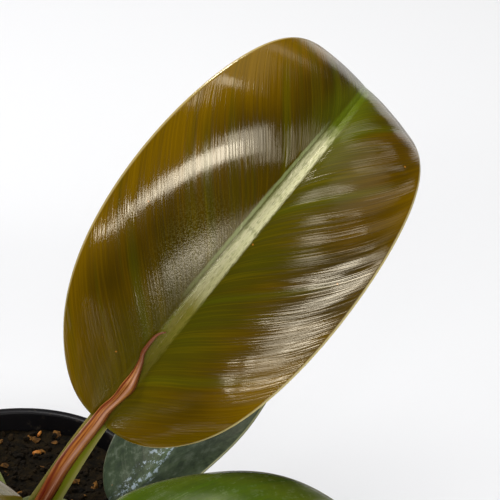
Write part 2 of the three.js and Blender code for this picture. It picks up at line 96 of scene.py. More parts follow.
# Leaves, youngest first, with the same measures as the solids.
# Azimuths run from +X towards +Y, elevations from the horizontal, in degrees.
# ripple and swell: how high the fine and the slow relief between the veins stands on each half;
# grid: rows along the stalk, rows along the blade and columns on each half.
LEAVES = {
    "leaf_1_youngest": {
        "base": (40.4, -4.8, 146.5), "azimuth": 12.5, "elevation": 53.3, "roll": 54, "length": 195.3,
        "half_widths": (53.4, 49.7), "shape": ((0.456, 0.457), (0.388, 0.493)),
        "bend": (16.7, 6.1, 89.8), "sweep": -1.7, "twist": 12.6,
        "rise": (0.343, 0.33), "lift": (0, 0.24), "droop": 0.289, "flatten": 0.76,
        "wave": (1.5, 2), "waves": (1.71, 2), "phase": (-55, -80),
        "ripple": (0.05, 0.08), "swell": (0.02, 0.26),
        "stalk": {"angle": 12, "height": 107, "elevation": 57, "channel": 2,
                  "root_half": 6, "root_depth": 5.6, "neck_half": 4.4, "neck_depth": 4.6},
        "columns": 6, "grid": (44, 210, 46), "finish": "bronze",
    },
    "leaf_2_bronze": {
        "base": (13.8, -45.2, 133.6), "azimuth": 231, "elevation": 42.5, "roll": -11, "length": 182,
        "half_widths": (50, 49), "shape": ((0.44, 0.5), (0.44, 0.5)),
        "bend": (25, 30, 30), "sweep": 0, "twist": 0,
        "rise": (0.33, 0.33), "lift": (0, 0), "droop": 0.33, "flatten": 0.3,
        "wave": (1.4, 1.4), "waves": (2.4, 2.4), "phase": (114, 40),
        "ripple": (0.1, 0.1), "swell": (0.14, 0.14),
        "stalk": {"angle": 279, "height": 107, "elevation": 52, "channel": 1.6,
                  "root_half": 5.4, "root_depth": 5, "neck_half": 4, "neck_depth": 4.2},
        "columns": 5, "grid": (30, 130, 30), "finish": "bronze",
    },
    "leaf_3_left_back": {
        "base": (-36, 16, 143), "azimuth": 152, "elevation": 40, "roll": 4, "length": 172,
        "half_widths": (47, 46), "shape": ((0.43, 0.5), (0.45, 0.5)),
        "bend": (25, 35, 25), "sweep": 4, "twist": 0,
        "rise": (0.32, 0.32), "lift": (0, 0), "droop": 0.34, "flatten": 0.3,
        "wave": (1.5, 1.5), "waves": (2.3, 2.3), "phase": (174, 100),
        "ripple": (0.1, 0.1), "swell": (0.14, 0.14),
        "stalk": {"angle": 120, "height": 106, "elevation": 50, "channel": 1.6,
                  "root_half": 5.2, "root_depth": 4.8, "neck_half": 3.9, "neck_depth": 4},
        "columns": 5, "grid": (30, 130, 30), "finish": "green",
    },
    "leaf_4_green": {
        "base": (34.5, -51.9, 119.7), "azimuth": -17, "elevation": 19, "roll": 13, "length": 150,
        "half_widths": (43.7, 40.4), "shape": ((0.44, 0.5), (0.44, 0.5)),
        "bend": (38.5, 34, 21), "sweep": -8.4, "twist": 0,
        "rise": (0.32, 0.32), "lift": (0, 0), "droop": 0.35, "flatten": 0.3,
        "wave": (1.3, 1.3), "waves": (2.1, 2.1), "phase": (94, 20),
        "ripple": (0.1, 0.1), "swell": (0.14, 0.14),
        "stalk": {"angle": 318, "height": 104.5, "elevation": 38, "channel": 1.4,
                  "root_half": 5, "root_depth": 4.6, "neck_half": 3.7, "neck_depth": 3.8},
        "columns": 5, "grid": (30, 130, 30), "finish": "green",
    },
    "leaf_5_left_front": {
        "base": (-42, -36, 124), "azimuth": 208, "elevation": 24, "roll": -3, "length": 150,
        "half_widths": (42, 42), "shape": ((0.45, 0.5), (0.44, 0.48)),
        "bend": (25, 35, 20), "sweep": 5, "twist": 0,
        "rise": (0.28, 0.28), "lift": (0, 0), "droop": 0.34, "flatten": 0.3,
        "wave": (1.4, 1.4), "waves": (2.3, 2.3), "phase": (274, 200),
        "ripple": (0.1, 0.1), "swell": (0.14, 0.14),
        "stalk": {"angle": 202, "height": 106, "elevation": 44, "channel": 1.3,
                  "root_half": 4.8, "root_depth": 4.4, "neck_half": 3.6, "neck_depth": 3.7},
        "columns": 5, "grid": (30, 120, 28), "finish": "green",
    },
    "leaf_6_dark": {
        "base": (47.2, -17, 110), "azimuth": 41.4, "elevation": 34.2, "roll": -11.5, "length": 122.6,
        "half_widths": (35.6, 33.6), "shape": ((0.44, 0.5), (0.44, 0.5)),
        "bend": (4.6, 16.7, 20.4), "sweep": 18.4, "twist": 0,
        "rise": (0.31, 0.31), "lift": (0, 0), "droop": 0.24, "flatten": 0.3,
        "wave": (1, 1), "waves": (2.2, 2.2), "phase": (14, 300),
        "ripple": (0.1, 0.1), "swell": (0.14, 0.14),
        "stalk": {"angle": 48, "height": 102.5, "elevation": 6, "channel": 1.1,
                  "root_half": 4.2, "root_depth": 3.6, "neck_half": 3.3, "neck_depth": 3.2},
        "columns": 5, "grid": (26, 120, 28), "finish": "old",
    },
    "leaf_7_front": {
        "base": (-10, -57, 111), "azimuth": 262, "elevation": 16, "roll": 0, "length": 122,
        "half_widths": (35, 34), "shape": ((0.46, 0.5), (0.44, 0.5)),
        "bend": (25, 25, 15), "sweep": -4, "twist": 0,
        "rise": (0.26, 0.26), "lift": (0, 0), "droop": 0.33, "flatten": 0.3,
        "wave": (1.2, 1.2), "waves": (2.1, 2.1), "phase": (154, 80),
        "ripple": (0.1, 0.1), "swell": (0.14, 0.14),
        "stalk": {"angle": 242, "height": 102.4, "elevation": 13, "channel": 1,
                  "root_half": 4.2, "root_depth": 3.6, "neck_half": 3.2, "neck_depth": 3.1},
        "columns": 5, "grid": (26, 110, 26), "finish": "old",
    },
    "leaf_8_oldest": {
        "base": (-38, 0, 111), "azimuth": 168, "elevation": 16, "roll": 0, "length": 106,
        "half_widths": (31, 31), "shape": ((0.46, 0.5), (0.46, 0.5)),
        "bend": (20, 25, 15), "sweep": 3, "twist": 0,
        "rise": (0.24, 0.24), "lift": (0, 0), "droop": 0.32, "flatten": 0.3,
        "wave": (1, 1), "waves": (2, 2), "phase": (224, 150),
        "ripple": (0.1, 0.1), "swell": (0.14, 0.14),
        "stalk": {"angle": 160, "height": 102.5, "elevation": 18, "channel": 0.9,
                  "root_half": 4, "root_depth": 3.4, "neck_half": 3, "neck_depth": 3},
        "columns": 5, "grid": (26, 100, 26), "finish": "old",
    },
}

# Veins: they leave the midrib almost along it, turn out to an angle and turn up again near the margin.
VEIN_ANGLE_BASE = 58
VEIN_ANGLE_TIP = 41
VEIN_SPREAD = 0.4
VEIN_START = 0.15
VEIN_REACH = 0.07
VEIN_TURN = 0.8

# Main veins of the left and of the right half, in shares of the length. Each is a narrow groove, and the
# blade swells and sinks between them twice. A swell's length is a share of the blade's.
MAIN_VEINS = ((0.154, 0.36, 0.585, 0.76), (0.092, 0.297, 0.527, 0.72))
FAR_FROM_MAIN = 30.0
GROOVE_DEPTH = 0.05
GROOVE_WIDTH = 1.3
SWELL_SHARE = 0.0963
RIPPLE_LENGTH = 4
RIPPLE_REACH = 45

# New leaf: along the stalk from the blade's base, radius, lift off the surface and drift to the left.
SPEAR_STOPS = (
    (-52, 2.6, 0.6, 0.4), (-39, 3.1, 0.5, 0.6), (-27, 3.1, 0.6, 1.2), (-14, 2.9, 0.6, 0.8),
    (-1, 2.8, 0.9, 0.2), (6, 2.4, 0.8, 0.4), (13, 2.1, 0.9, -0.6), (20, 2.3, 1.05, -1),
    (26, 1.7, 0.9, 0), (31, 1.2, 1.2, 1.4), (34, 1.0, 1.6, 2.7), (38, 0.85, 1.9, 3.1),
    (42, 0.7, 2.1, 3.0), (44.5, 0.55, 2.1, 2.4), (46.5, 0.35, 1.9, 0.9),
)
SPEAR_RINGS = 150
SPEAR_SIDES = 40

# Pot and soil.
POT_HEIGHT = 106
LIP_RADIUS = 60
LIP_WIDTH = 4.2
LIP_HEIGHT = 10
WALL_TOP_RADIUS = 57
BASE_RADIUS = 42
WALL_THICKNESS = 1.6
FLOOR_THICKNESS = 2
DRAIN_HOLE_RADIUS = 3.5
DRAIN_HOLE_CIRCLE = 30
DRAIN_HOLES = 8
DRAIN_HOLE_SIDES = 32
POT_SEGMENTS = 160
POT_WALL_RINGS = 24
POT_LINING_RINGS = 20
WALL_STEP_HEIGHT = (17, 18.5)
WALL_STEP_DEPTH = 0.25
SOIL_LEVEL = 97
SOIL_RINGS = 62
SOIL_MARGIN = 2.2

# The photograph's view: the camera's place in mm, its tilt and its lens.
CAMERA_PLACE = (100.1, -617.1, 593.5)
CAMERA_TILT = 59
CAMERA_LENS = 135.8
CAMERA_SENSOR = 36

# Lamps, placed round a point near the youngest leaf's middle, in metres. Each has its azimuth, elevation,
# width and height as seen from there in degrees, its radiance, and its lean in degrees.
LAMP_AIM = (0.09, -0.01, 0.2)
LAMP_DISTANCE = 2.5
LAMPS = {
    "sky": (140, 60, 20, 20, 24, 0),
    "overhead": (-30, 76.5, 38, 37, 0.55, 0),
    "overhead_front": (-98, 64.5, 21, 5, 6, 0),
    "overhead_left": (-128, 56, 11, 11, 5, 0),
    "back_sky": (28, 62, 7, 44, 1.7, 0),
    "backdrop": (61, 3, 22, 36, 1.4, 0),
    "window_end": (-133.7, 20.4, 5.8, 3.4, 18, 38),
    "window_left": (-124.8, 26.5, 6.4, 3.4, 18, 40),
    "window_front_left": (-111.7, 29.9, 15, 6.2, 12, 8),
    "window_front": (-93.5, 32.4, 19, 6, 15, 3),
    "window_middle": (-80, 34, 21, 11, 6.6, 0),
    "window_front_right": (-61, 31, 11, 17, 4, 0),
    "window_right": (-30, 23.3, 24, 13.3, 1.6, 0),
    "low_front": (-71, -0.6, 33, 14.6, 1.5, 0),
    "low_front_middle": (-87.6, 2.1, 16.5, 3.5, 9.5, 0),
}

# Floor, in metres, and the tone of the air behind it.
FLOOR_HALF = 8
FLOOR_SHIFT = 7.7
FLOOR_DROP = 0.0005
AIR_GLOW = 0.015
AIR_SEEN = (0.93, 0.93, 0.94, 1)


def radians(degrees):
    return math.radians(degrees)


def lerp(a, b, share):
    return a + (b - a) * share


def clamp(value, low=0.0, high=1.0):
    return max(low, min(high, value))


def smoothstep(low, high, value):
    share = clamp((value - low) / (high - low))
    return share * share * (3 - 2 * share)


def colour(red, green, blue):
    """Linear colour of a screen colour from 0 to 255."""
    def linear(value):
        value /= 255
        return value / 12.92 if value <= 0.04045 else ((value + 0.055) / 1.055) ** 2.4
    return (linear(red), linear(green), linear(blue), 1.0)


class Reading:
    """A number read over a surface. Arithmetic on it adds Math nodes to its finish."""

    def __init__(self, finish, socket):
        self.finish = finish
        self.socket = socket

    def __add__(self, other):
        return self.finish.maths("ADD", self, other)

    def __sub__(self, other):
        return self.finish.maths("SUBTRACT", self, other)

    def __mul__(self, other):
        return self.finish.maths("MULTIPLY", self, other)

    def __rsub__(self, other):
        return self.finish.maths("SUBTRACT", other, self)

    def __abs__(self):
        return self.finish.maths("ABSOLUTE", self, 0)

    __radd__ = __add__
    __rmul__ = __mul__


class Finish:
    """A material under construction, on one Principled shader."""

    def __init__(self, name, constants=None):
        self.material = bpy.data.materials.new(name)
        self.material.use_nodes = True
        self.tree = self.material.node_tree
        self.shader = self.tree.nodes["Principled BSDF"]
        for socket, value in (constants or {}).items():
            self.shader.inputs[socket].default_value = value

    def feed(self, socket, value):
        if isinstance(value, Reading):
            self.tree.links.new(value.socket, socket)
        elif isinstance(value, bpy.types.NodeSocket):
            self.tree.links.new(value, socket)
        else:
            socket.default_value = value

    def node(self, kind, settings=None, inputs=None):
        made = self.tree.nodes.new(kind)
        for name, value in (settings or {}).items():
            setattr(made, name, value)
        for name, value in (inputs or {}).items():
            self.feed(made.inputs[name], value)
        return made

    def maths(self, operation, *values):
        made = self.node("ShaderNodeMath", {"operation": operation}, dict(enumerate(values)))
        return Reading(self, made.outputs[0])

    def step(self, value, low, high):
        """0 below low, 1 above high and smooth between."""
        made = self.node("ShaderNodeMapRange", {"interpolation_type": "SMOOTHSTEP"},
                         {"Value": value, "From Min": low, "From Max": high})
        return Reading(self, made.outputs["Result"])

    def mix(self, share, first, second):
        made = self.node("ShaderNodeMix", {"data_type": "RGBA"}, {0: share, 6: first, 7: second})
        return made.outputs[2]

    def measure(self, name):
        """A number that the mesh holds at its points."""
        made = self.node("ShaderNodeAttribute", {"attribute_name": name})
        return Reading(self, made.outputs["Fac"])

    def place(self):
        made = self.node("ShaderNodeTexCoord")
        return made.outputs["Object"]

    def point(self, x, y, z):
        made = self.node("ShaderNodeCombineXYZ", None, {"X": x, "Y": y, "Z": z})
        return made.outputs[0]

    def grain(self, where, scale, detail=2.0, roughness=0.5):
        made = self.node("ShaderNodeTexNoise", None,
                         {"Vector": where, "Scale": scale, "Detail": detail, "Roughness": roughness})
        return Reading(self, made.outputs["Fac"])

    def cells(self, where, scale):
        """Distance to the nearest of many scattered points."""
        made = self.node("ShaderNodeTexVoronoi", None, {"Vector": where, "Scale": scale})
        return Reading(self, made.outputs["Distance"])

    def relief(self, height, depth):
        made = self.node("ShaderNodeBump", None,
                         {"Height": height, "Distance": depth * MM, "Strength": 1.0})
        return made.outputs["Normal"]

    def wear(self, **sockets):
        """Links what changes over the surface to the shader."""
        for socket, value in sockets.items():
            self.feed(self.shader.inputs[socket.replace("_", " ").title()], value)
        return self.material


# Colours of each kind of leaf, as on a screen. The gloss is the mirror's strength, and the marks entry sets
# how much the leaf has of blotches and pale bluish flecks, and how strongly its left half gets painted shade
# and its right half painted light. The edge colour is partly the leaf's own tone and partly painted
# backlight; the rib and margin colours are partly the leaf's own pale midrib and rim and partly painted
# highlight.
LEAF_KINDS = {
    "bronze": {
        "middle": (88, 63, 1), "base": (120, 92, 1), "inner": (72, 74, 6), "edge": (124, 92, 1),
        "dark": (58, 43, 1), "vein": (84, 96, 8),
        "rib": (208, 204, 158), "rib_ends": (92, 104, 16), "rib_base": (122, 114, 46),
        "margin": (228, 210, 146), "under": (118, 84, 52),
        "stalk": (134, 142, 34), "stalk_edge": (168, 166, 96),
        "roughness": 0.08, "gloss": 0.5, "marks_and_side_shading": 0.0,
    },
    "green": {
        "middle": (66, 88, 6), "base": (72, 94, 8), "inner": (60, 88, 10), "edge": (84, 90, 20),
        "dark": (48, 70, 4), "vein": (88, 112, 30),
        "rib": (150, 168, 100), "rib_ends": (96, 122, 44), "rib_base": (104, 126, 52),
        "margin": (170, 164, 96), "under": (108, 120, 70),
        "stalk": (104, 122, 40), "stalk_edge": (150, 156, 96),
        "roughness": 0.2, "gloss": 0.45, "marks_and_side_shading": 0.25,
    },
    "old": {
        "middle": (58, 71, 48), "base": (60, 73, 50), "inner": (52, 67, 46), "edge": (72, 84, 58),
        "dark": (38, 50, 40), "vein": (78, 92, 66),
        "rib": (100, 112, 88), "rib_ends": (84, 100, 68), "rib_base": (88, 104, 72),
        "margin": (166, 164, 124), "under": (102, 112, 82),
        "stalk": (86, 98, 56), "stalk_edge": (122, 128, 86),
        "roughness": 0.32, "gloss": 0.2, "marks_and_side_shading": 1.0,
    },
}


FRINGE_DARK = (84, 90, 36)
FRINGE_LIGHT = (150, 160, 104)
SPECK = (190, 120, 40)
BLOTCH_DARK = (32, 40, 36)
BLOTCH_PALE = (126, 136, 120)
PALE_BLUE_FLECKS = (176, 192, 204)


def leaf_finish(kind):
    """Upper side, midrib, margin, stalk and underside of a leaf, in that kind's colours."""
    hues = {key: colour(*value) if isinstance(value, tuple) else value
            for key, value in LEAF_KINDS[kind].items()}
    finish = Finish(kind + "_leaf_surface", {
        "IOR": 1.54, "Specular IOR Level": hues["gloss"], "Specular Tint": (1.0, 0.9, 0.7, 1.0)})
    across = finish.measure("across")
    along = finish.measure("along")
    vein = finish.measure("vein")
    lateral = finish.measure("lateral")
    rib_share = finish.measure("rib")
    main = finish.measure("main")
    underside = finish.measure("underside")
    share = abs(across)
    right = finish.step(across, 0.03, -0.03)
    blade = finish.step(along, -0.012, 0.012)

    streaks = finish.grain(finish.point(vein * 1.3, lateral * 0.04, along), 1.0, 1.0, 0.5)
    bands = finish.grain(finish.point(vein * 0.14, lateral * 0.012, along * 0.5), 1.0, 2.0, 0.5)
    drift = finish.grain(finish.place(), 22.0, 2.0, 0.5)
    speckle = finish.grain(finish.place(), 1500.0, 2.0, 0.6)
    main_line = 1 - finish.step(main + (bands - 0.5) * 4.0, 0.3, 3.8)

    # The blade's colour, from the dark middle of each half to its bright edge. The golden edge is partly the
    # leaf's own tone and partly painted backlight, spread further in on the left half.
    # Painted shade: the middle stretch of the blade's length, darkened further below.
    shade = finish.step(along, 0.25, 0.4) * (1 - finish.step(along, 0.6, 0.8))
    body = finish.mix(finish.step(drift * 0.7 + bands * 0.3, 0.38, 0.6), hues["dark"], hues["middle"])
    # Painted backlight, partly: the golden edge colour reaches further in on the left half than on the right.
    edge_tone_and_backlight = share + (drift - 0.5) * 0.4 + finish.step(along, 0.2, 0.6) * (0.12 - right * 0.3)
    body = finish.mix(finish.step(edge_tone_and_backlight, 0.55, 1.0), body, hues["edge"])
    near_rib = 1 - finish.step(share + (bands - 0.5) * 0.4, 0.05, 0.7)
    low_green = (1 - finish.step(along, 0.2, 0.45)) * 0.4
    body = finish.mix(near_rib * (0.25 + low_green * (1 - right) + 0.6 * right), body, hues["inner"])
    fade_out = 1 - finish.step(share, 0.5, 0.9)
    body = finish.mix(main_line * fade_out * 0.32, body, hues["vein"])
    body = finish.mix(finish.step(bands, 0.53, 0.63) * (1 - right) * 0.35, body, hues["inner"])
    # Pale pore specks near the base of the left half, partly their own tone and partly a painted grainy
    # sheen, the lighter base and the greener tip.
    pore_and_sheen_zone = (1 - right) * (1 - finish.step(share, 0.3, 0.6)) * (1 - finish.step(along, 0.42, 0.58))
    pore_grain_and_sheen = finish.step(speckle, 0.42, 0.6)
    # Pale specks, partly painted grainy sheen near the midrib.
    body = finish.mix(pore_and_sheen_zone * pore_grain_and_sheen * finish.step(along, 0.28, 0.42) * 0.45, body, hues["rib_base"])
    body = finish.mix((1 - finish.step(along, 0.0, 0.32)) * (0.5 - near_rib * 0.3), body, hues["base"])
    tip_green = finish.step(along, 0.62, 0.86) * (1 - finish.step(share, 0.05, 0.35))
    body = finish.mix(tip_green * 0.55, body, hues["rib_ends"])
    # Dark and light streaks along the veins: partly their own tone, partly painted shade and light of the
    # fine relief; the middle stretch gets extra painted shade.
    body = finish.mix((streaks - 0.5) * 0.9 + 0.14 + shade * 0.2, body, hues["dark"])
    body = finish.mix((1 - finish.step(streaks, 0.3, 0.5)) * 0.16, body, hues["base"])

    # The midrib, pale in its middle stretch, partly its own pale colour and partly a painted highlight of its
    # flat top, with fibres, dashes and a fringe beside it.
    fibres = finish.grain(finish.point(along * 60.0, lateral * 1.6, 0.0), 1.0, 3.0, 0.6)
    ragged = along + (fibres - 0.5) * 0.06
    # The pale stretch: partly the midrib's own colour, partly painted highlight.
    pale = finish.step(ragged, 0.3, 0.36) * (1 - finish.step(ragged, 0.71, 0.79))
    pale = pale * (0.5 + 0.5 * finish.step(ragged, 0.35, 0.5))
    rib_hue = finish.mix(finish.step(along, 0.5, 0.7), hues["rib_base"], hues["rib_ends"])
    rib_hue = finish.mix(pale, rib_hue, hues["rib"])
    rib_hue = finish.mix(finish.step(fibres, 0.5, 0.7) * 0.45, rib_hue, hues["rib_ends"])
    dashes = finish.grain(finish.point(along * 70.0, lateral * 3.2, 0.0), 1.0, 1.0, 0.5)
    rib_side = finish.step(rib_share, 0.4, 0.9) * (1 - right)
    rib_hue = finish.mix(finish.step(dashes, 0.56, 0.68) * 0.45, rib_hue, hues["inner"])
    rib_hue = finish.mix(rib_side * 0.45, rib_hue, hues["rib_ends"])
    rib_mask = 1 - finish.step(rib_share + (fibres - 0.5) * 0.5, 0.7, 1.15)
    rib_fringe = rib_share + (fibres - 0.5) * 0.5
    beside = pale * (1 - right) * finish.step(rib_fringe, 0.8, 1.0) * (1 - finish.step(rib_fringe, 1.5, 1.75))
    fringe_hue = finish.mix(finish.step(rib_fringe, 1.1, 1.3), colour(*FRINGE_DARK), colour(*FRINGE_LIGHT))
    body = finish.mix(beside * 0.75, body, fringe_hue)
    body = finish.mix(rib_mask * (0.3 + 0.7 * finish.step(along, 0.1, 0.32)), body, rib_hue)

    # Scattered specks, the blotches and pale bluish flecks of an old leaf, and painted shade on its left half
    # with painted light on its right half.
    dots = 1 - finish.step(finish.cells(finish.place(), 130.0), 0.03, 0.07)
    sparse = finish.step(finish.grain(finish.place(), 60.0, 0.0), 0.64, 0.68)
    body = finish.mix(dots * sparse * 0.8, body, colour(*SPECK))

    blotches = finish.grain(finish.place(), 230.0, 5.0, 0.7)
    cover = finish.step(blotches, 0.5, 0.66)
    # Painted shade on the left half and painted light on the right half, as strong as the marks entry.
    body = finish.mix((1 - right) * hues["marks_and_side_shading"] * 0.35, body, hues["dark"])
    body = finish.mix(right * hues["marks_and_side_shading"] * 0.2, body, hues["rib"])
    body = finish.mix(finish.step(blotches, 0.5, 0.36) * hues["marks_and_side_shading"] * 0.5, body, colour(*BLOTCH_DARK))
    body = finish.mix(cover * hues["marks_and_side_shading"] * 0.28, body, colour(*BLOTCH_PALE))
    # Pale bluish flecks, crowded near the midrib.
    scale = finish.step(finish.grain(finish.place(), 310.0, 4.0, 0.7), 0.52, 0.6)
    scale = scale * (1 - finish.step(rib_share, 1.0, 2.4)) * finish.step(drift, 0.4, 0.55)
    body = finish.mix(scale * hues["marks_and_side_shading"] * 0.7, body, colour(*PALE_BLUE_FLECKS))

    # The light margin, partly its own pale rim and partly a painted highlight of light caught on the edge,
    # stronger on the right half; the stalk and the underside.
    margin_rim_and_highlight = finish.step(share, 0.978, 0.992)
    body = finish.mix(margin_rim_and_highlight * (0.4 + 0.45 * right), body, hues["margin"])

    stalk_streaks = finish.grain(finish.point(lateral * 1.1, along * 14.0, 0.0), 1.0, 3.0, 0.6)
    stalk = finish.mix(finish.step(share, 0.55, 0.95), hues["stalk"], hues["stalk_edge"])
    stalk = finish.mix(stalk_streaks * 0.35, stalk, hues["inner"])
    body = finish.mix(blade, stalk, body)

    under = finish.mix(streaks * 0.5, hues["under"], hues["inner"])
    under = finish.mix(main_line * 0.3, under, hues["vein"])
    under = finish.mix(rib_mask * 0.8, under, hues["stalk"])
    body = finish.mix(underside * blade, body, under)

    # Gloss, broken by dull streaks and pores.
    dull_streaks = finish.step(streaks, 0.48, 0.62)
    roughness = hues["roughness"] + dull_streaks * (1 - pore_and_sheen_zone) * (0.06 + right * 0.03) + pore_grain_and_sheen * pore_and_sheen_zone * 0.14
    roughness = roughness + right * 0.045 + finish.step(along, 0.7, 0.85) * (1 - right) * 0.1
    roughness = roughness + cover * hues["marks_and_side_shading"] * 0.25 + underside * 0.3
    ridges = streaks * (1 - pore_and_sheen_zone * 0.6 - right * 0.3) + speckle * (0.05 + pore_and_sheen_zone * 0.3)
    return finish.wear(base_color=body, roughness=roughness, normal=finish.relief(ridges, 0.1))


def spear_finish():
    finish = Finish("new_leaf_surface", {"IOR": 1.45, "Specular IOR Level": 0.35})
    turn = finish.measure("turn")
    along = finish.measure("along")
    streaks = finish.grain(finish.point(turn * 34.0, along * 0.06, 0.0), 1.0, 3.0, 0.6)
    patches = finish.grain(finish.point(turn * 5.0, along * 0.05, 3.0), 1.0, 2.0, 0.5)
    low = 1 - finish.step(along, -40.0, -12.0)
    body = finish.mix(finish.step(streaks, 0.3, 0.7), colour(104, 36, 14), colour(184, 118, 54))
    body = finish.mix(finish.step(patches, 0.45, 0.65) * 0.7, body, colour(186, 124, 58))
    left_edge = 1 - finish.step(abs(turn - 0.09), 0.01, 0.07)
    body = finish.mix(left_edge * 0.7, body, colour(112, 28, 24))
    # A pinkish stripe down the roll's middle: painted highlight.
    painted_centre_highlight = 1 - finish.step(abs(turn - 0.25), 0.01, 0.07)
    body = finish.mix(painted_centre_highlight * 0.45, body, colour(222, 172, 148))
    seam = 1 - finish.step(abs(turn - 0.46 + low * 0.08 + (patches - 0.5) * 0.12), 0.015, 0.06)
    body = finish.mix(seam * 0.85, body, colour(84, 16, 14))
    body = finish.mix(low * finish.step(streaks, 0.4, 0.52) * 0.85, body, colour(104, 24, 10))
    tail = finish.step(along, 22.0, 34.0)
    body = finish.mix(tail * 0.75, body, colour(104, 52, 32))
    roughness = 0.3 + (streaks - 0.5) * 0.2
    return finish.wear(base_color=body, roughness=roughness, normal=finish.relief(streaks, 0.12))


def pot_finish():
    finish = Finish("black_moulded_plastic", {"IOR": 1.46, "Specular IOR Level": 0.14})
    where = finish.place()
    mottle = finish.grain(where, 60.0, 3.0, 0.6)
    fine = finish.grain(where, 1400.0, 2.0, 0.6)
    dust = finish.step(finish.grain(where, 240.0, 4.0, 0.7), 0.56, 0.75)
    body = finish.mix(mottle, colour(14, 13, 14), colour(24, 22, 24))
    body = finish.mix(dust * 0.35, body, colour(92, 80, 66))
    roughness = 0.34 + mottle * 0.12 + dust * 0.2
    return finish.wear(base_color=body, roughness=roughness, normal=finish.relief(fine, 0.05))


def soil_finish():
    finish = Finish("potting_soil", {"Specular IOR Level": 0.1})
    where = finish.place()
    coarse = finish.grain(where, 260.0, 5.0, 0.7)
    fine = finish.grain(where, 1300.0, 4.0, 0.7)
    body = finish.mix(finish.step(coarse, 0.35, 0.7), colour(8, 6, 3), colour(34, 25, 9))
    body = finish.mix(finish.step(fine, 0.6, 0.78) * 0.5, body, colour(92, 74, 22))
    roughness = 0.82 + fine * 0.15
    return finish.wear(base_color=body, roughness=roughness, normal=finish.relief(coarse + fine * 0.5, 1.2))


def bit_finish(name, dark, light, rough):
    finish = Finish(name, {"Specular IOR Level": 0.15})
    where = finish.place()
    fibre = finish.grain(where, 700.0, 4.0, 0.65)
    patch = finish.grain(where, 130.0, 2.0, 0.5)
    body = finish.mix(finish.step(fibre * 0.6 + patch * 0.5, 0.4, 0.75), colour(*dark), colour(*light))
    return finish.wear(base_color=body, roughness=rough + fibre * 0.1, normal=finish.relief(fibre, 0.4))


def stem_finish():
    finish = Finish("stem_skin", {"IOR": 1.45})
    where = finish.place()
    streaks = finish.grain(where, 320.0, 4.0, 0.6)
    patches = finish.grain(where, 90.0, 3.0, 0.6)
    body = finish.mix(finish.step(streaks, 0.35, 0.7), colour(70, 72, 28), colour(122, 120, 58))
    body = finish.mix(finish.step(patches, 0.52, 0.7) * 0.7, body, colour(96, 66, 36))
    return finish.wear(base_color=body, roughness=0.5 + streaks * 0.15, normal=finish.relief(streaks, 0.5))


def finished(name, mesh, material, nodes=(), smooth=True):
    """Turns a modelled mesh in mm into a piece that rides on the plant."""
    bmesh.ops.scale(mesh, vec=(MM, MM, MM), verts=mesh.verts[:])
    data = bpy.data.meshes.new(name)
    mesh.to_mesh(data)
    mesh.free()
    for face in data.polygons:
        face.use_smooth = smooth
    data.materials.append(material)
    piece = bpy.data.objects.new(name, data)
    bpy.context.scene.collection.objects.link(piece)
    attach(piece, "root")
    if nodes:
        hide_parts(*nodes)


def direction(azimuth, elevation):
    """Unit vector at an azimuth and an elevation."""
    a = radians(azimuth)
    e = radians(elevation)
    return Vector((math.cos(a) * math.cos(e), math.sin(a) * math.cos(e), math.sin(e)))


def turned(vector, axis, degrees):
    """A vector turned about an axis."""
    return Matrix.Rotation(radians(degrees), 3, axis) @ vector


def blade_frames(leaf):
    """Midrib points and the directions along it, to its left and upwards, from base to tip."""
    t = direction(leaf["azimuth"], leaf["elevation"])
    s = direction(leaf["azimuth"] + 90, 0)
    n = t.cross(s)
    s = turned(s, t, leaf["roll"])
    n = turned(n, t, leaf["roll"])
    c = Vector(leaf["base"])
    even, growing, late = leaf["bend"]
    frames = [(c.copy(), t.copy(), s.copy(), n.copy())]
    for i in range(MARCH_STEPS):
        here = i / MARCH_STEPS
        there = (i + 1) / MARCH_STEPS
        step = (even * (there - here) + growing * (there ** 2 - here ** 2)
                + late * (there ** 5 - here ** 5))
        t = turned(t, s, step)
        n = turned(n, s, step)
        t = turned(t, n, leaf["sweep"] / MARCH_STEPS)
        s = turned(s, n, leaf["sweep"] / MARCH_STEPS)
        s = turned(s, t, leaf["twist"] / MARCH_STEPS)
        n = turned(n, t, leaf["twist"] / MARCH_STEPS)
        c = c + t * (leaf["length"] / MARCH_STEPS)
        frames.append((c.copy(), t.copy(), s.copy(), n.copy()))
    return frames


def frame_at(frames, q):
    """The frame at a share of the blade's length."""
    place = clamp(q) * MARCH_STEPS
    i = min(int(place), MARCH_STEPS - 1)
    c, t, s, n = (frames[i][k].lerp(frames[i + 1][k], place - i) for k in range(4))
    return c, t.normalized(), s.normalized(), n.normalized()


def stalk_frames(leaf, distance, rows):
    """Frames of the stalk from its root at the stem up to the blade's base."""
    c, t, s, _ = blade_frames(leaf)[0]
    stalk = leaf["stalk"]
    root = Vector((STEM["x"], STEM["y"], stalk["height"])) + direction(stalk["angle"], 0) * distance
    reach = (c - root).length
    leave = root + direction(stalk["angle"], stalk["elevation"]) * reach * STALK_PULL
    arrive = c - t * reach * STALK_PULL
    frames = []
    side = s.copy()
    for i in range(rows, -1, -1):
        k = i / rows
        here = (root * (1 - k) ** 3 + leave * 3 * k * (1 - k) ** 2
                + arrive * 3 * k ** 2 * (1 - k) + c * k ** 3)
        along = ((leave - root) * (1 - k) ** 2 + (arrive - leave) * 2 * k * (1 - k)
                 + (c - arrive) * k ** 2).normalized()
        side = (side - along * side.dot(along)).normalized()
        frames.insert(0, (here, along, side, along.cross(side)))
    return frames


def stalk_size(leaf, p):
    """Half-width and depth of the stalk at a share of its length."""
    stalk = leaf["stalk"]
    return (lerp(stalk["root_half"], stalk["neck_half"], p),
            lerp(stalk["root_depth"], stalk["neck_depth"], p))


